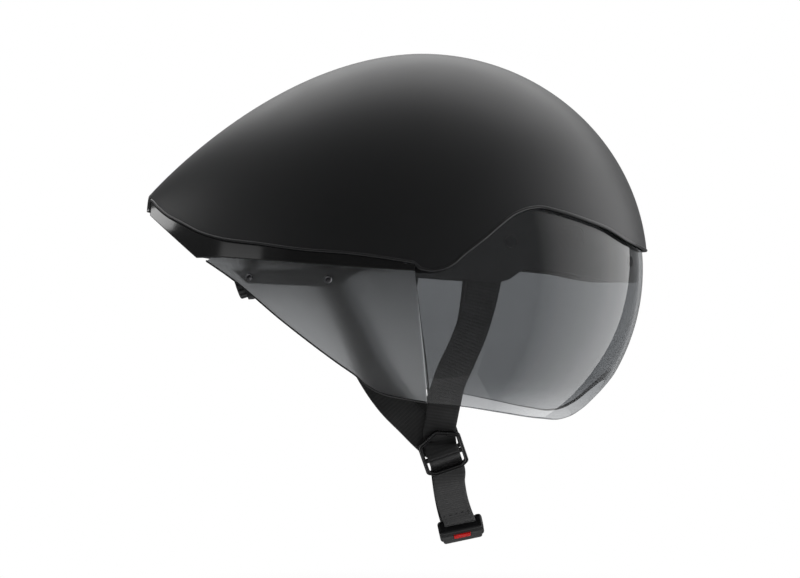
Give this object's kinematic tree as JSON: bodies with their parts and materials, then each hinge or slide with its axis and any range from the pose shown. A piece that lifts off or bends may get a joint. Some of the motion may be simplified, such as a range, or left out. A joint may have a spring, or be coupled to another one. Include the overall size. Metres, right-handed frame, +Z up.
{
  "type": "aero time trial helmet",
  "caption": "Long-tail cycling time trial helmet with a shield visor, ear fairings, a dial fit system and a buckled chin strap.",
  "frame": {"origin": "centre of the wearer's head, on the middle plane at temple level, where the head fills the helmet", "axes": "+X forward along the line of sight, +Y to the wearer's left, +Z up towards the crown"},
  "size_m": [0.3228, 0.196, 0.3196],
  "materials": {
    "shell": "fine matt moulded shell",
    "trim": "gloss black strip",
    "carrier": "satin moulded plastic",
    "foam": "moulded bead foam",
    "smoke_lens": "clear smoke lens",
    "smoke_fairing": "hazy smoke fairing",
    "magnet": "black nickel magnet",
    "screw": "black oxide screw",
    "pad": "brushed pad fabric",
    "webbing": "flat woven webbing",
    "buckle": "moulded buckle plastic",
    "button": "red moulded plastic",
    "band": "flexible moulded band",
    "pin": "moulded plastic"
  },
  "bodies": {
    "helmet": {"outer_shell": "shell", "tail_cap": "trim", "visor_seat": "carrier", "liner": "foam", "seat_magnets": "magnet", "fairing_screws": "screw", "brow_pad": "pad", "crown_pad": "pad", "strap_anchors": "carrier", "temple_pins": "pin", "buckle_socket": "buckle", "chin_strap_right": "webbing", "chin_strap_left": "webbing", "lower_trim_right": "trim", "fairing_right": "smoke_fairing", "fairing_bracket_right": "carrier", "side_pad_right": "pad", "strap_front_right": "webbing", "strap_rear_right": "webbing", "divider_right": "buckle", "lower_trim_left": "trim", "fairing_left": "smoke_fairing", "fairing_bracket_left": "carrier", "side_pad_left": "pad", "strap_front_left": "webbing", "strap_rear_left": "webbing", "divider_left": "buckle"},
    "visor": {"visor_lens": "smoke_lens", "visor_magnets": "magnet"},
    "cradle": {"dial_housing": "carrier", "nape_pad": "pad"},
    "dial": {"fit_dial": "carrier", "dial_pinion": "pin"},
    "band_right": {"fit_band_right": "band", "fit_rack_right": "pin"},
    "band_left": {"fit_band_left": "band", "fit_rack_left": "pin"},
    "tongue": {"buckle_tongue": "buckle"},
    "button": {"release_button": "button"}
  },
  "joints": [
    {"name": "visor_slide", "type": "slide", "parent": "helmet", "child": "visor", "axis": [0.8, 0, -0.6], "range_m": [0, 0.12]},
    {"name": "cradle_tilt", "type": "hinge", "parent": "helmet", "child": "cradle", "pos_m": [0.015, 0, 0.008], "axis": [0, 1, 0], "range_deg": [-4, 4]},
    {"name": "dial_turn", "type": "hinge", "parent": "cradle", "child": "dial", "pos_m": [-0.1209, 0, -0.008], "axis": [-0.9563, 0, -0.2924], "range_deg": [0, 85]},
    {"name": "band_right_slide", "type": "slide", "parent": "cradle", "child": "band_right", "axis": [0, 1, 0], "range_m": [0, 0.0047]},
    {"name": "band_left_slide", "type": "slide", "parent": "cradle", "child": "band_left", "axis": [0, -1, 0], "range_m": [0, 0.0047]},
    {"name": "tongue_slide", "type": "slide", "parent": "helmet", "child": "tongue", "axis": [0.0895, 0.9027, -0.4209], "range_m": [0, 0.025], "deforming": ["chin_strap_left"]},
    {"name": "button_press", "type": "slide", "parent": "helmet", "child": "button", "axis": [-0.1877, 0.4303, 0.8829], "range_m": [0, 0.001], "stiffness_N_per_m": 400}
  ],
  "couplings": [
    {"joint": "dial_turn", "follows": "band_right_slide", "rad_per_m": 312.5},
    {"joint": "band_left_slide", "follows": "band_right_slide", "ratio": 1}
  ]
}
